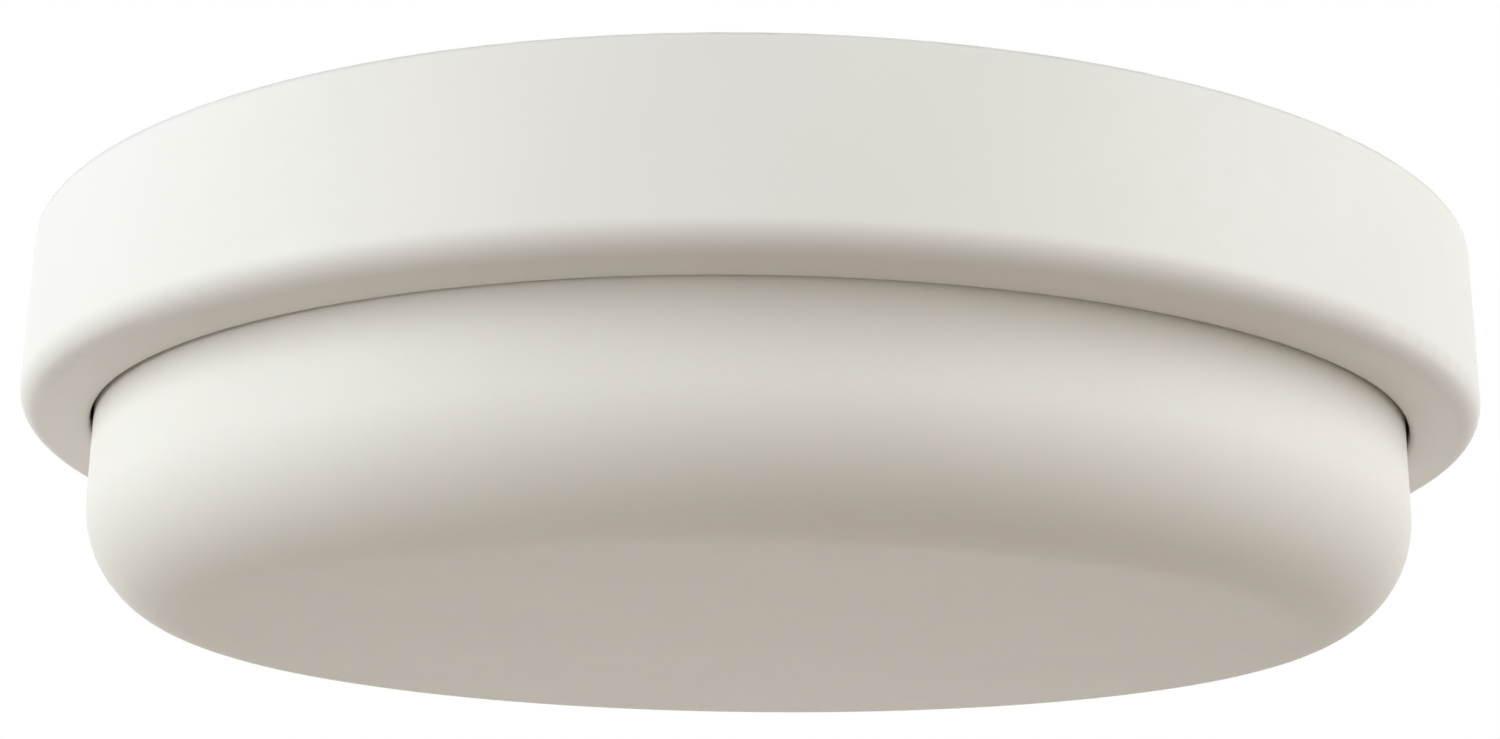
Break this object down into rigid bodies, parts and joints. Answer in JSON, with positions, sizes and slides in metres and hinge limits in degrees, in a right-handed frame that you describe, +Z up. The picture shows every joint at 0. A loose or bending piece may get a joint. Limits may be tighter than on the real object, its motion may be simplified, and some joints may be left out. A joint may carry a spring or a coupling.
{
  "type": "led ceiling light",
  "caption": "Round surface-mounted ceiling light: opal drum diffuser, clip-on trim ring, screwed back pan, and a light board, driver and push-in supply terminal inside.",
  "frame": {"origin": "centre of the ceiling fixing circle, in the plane of the ceiling", "axes": "+Z up into the ceiling, -Z down to the diffuser's face, -Y towards the picture's camera, +X to its right"},
  "size_m": [0.3, 0.3, 0.0728],
  "materials": {
    "pan_plastic": "satin",
    "trim_plastic": "satin",
    "opal": "satin opal",
    "foam": "closed-cell foam",
    "rubber": "matte",
    "silicone": "matte",
    "spring_steel": "bright",
    "zinc": "zinc plated",
    "tray_paint": "white powder coat",
    "board_mask": "white solder mask",
    "led": "phosphor window in a white case",
    "connector": "moulded",
    "driver_plastic": "fine texture",
    "circuit": "solder mask",
    "transformer": "taped winding",
    "capacitor": "sleeved can",
    "terminal": "moulded",
    "brass": "bare",
    "button": "moulded",
    "wire_live": "insulation",
    "wire_neutral": "insulation",
    "wire_earth": "insulation",
    "wire_positive": "insulation",
    "wire_negative": "insulation"
  },
  "bodies": {
    "pan": {"back_pan": "pan_plastic", "ceiling_gasket": "foam", "cable_grommet": "rubber", "fixing_seals": "rubber", "wire_bush": "rubber", "diffuser_seal": "silicone", "spring_clips": "spring_steel", "clip_screws": "zinc", "tray_screws": "zinc", "board_screws": "zinc", "driver_screws": "zinc", "terminal_screws": "zinc", "earth_screw": "zinc", "earth_nut": "zinc", "gear_tray": "tray_paint", "led_board": "board_mask", "led_packages": "led", "board_connector": "connector", "driver_case": "driver_plastic", "driver_lid": "driver_plastic", "driver_board": "circuit", "driver_transformer": "transformer", "driver_capacitors": "capacitor", "terminal_block": "terminal", "terminal_contacts": "brass", "earth_tag": "brass", "live_wire": "wire_live", "neutral_wire": "wire_neutral", "earth_wire": "wire_earth", "positive_lead": "wire_positive", "negative_lead": "wire_negative"},
    "trim_ring": {"trim_ring": "trim_plastic"},
    "diffuser": {"diffuser": "opal"},
    "release_button_live": {"release_button_live": "button"},
    "release_button_neutral": {"release_button_neutral": "button"},
    "release_button_earth": {"release_button_earth": "button"}
  },
  "joints": [
    {"name": "trim_ring_pull", "type": "slide", "parent": "pan", "child": "trim_ring", "axis": [0, 0, -1], "range_m": [0, 0.08]},
    {"name": "diffuser_pull", "type": "slide", "parent": "pan", "child": "diffuser", "axis": [0, 0, -1], "range_m": [0, 0.08], "deforming": ["spring_clips"]},
    {"name": "release_button_live_press", "type": "slide", "parent": "pan", "child": "release_button_live", "axis": [0, 0, 1], "range_m": [0, 0.0015], "stiffness_N_per_m": 1000},
    {"name": "release_button_neutral_press", "type": "slide", "parent": "pan", "child": "release_button_neutral", "axis": [0, 0, 1], "range_m": [0, 0.0015], "stiffness_N_per_m": 1000},
    {"name": "release_button_earth_press", "type": "slide", "parent": "pan", "child": "release_button_earth", "axis": [0, 0, 1], "range_m": [0, 0.0015], "stiffness_N_per_m": 1000}
  ]
}
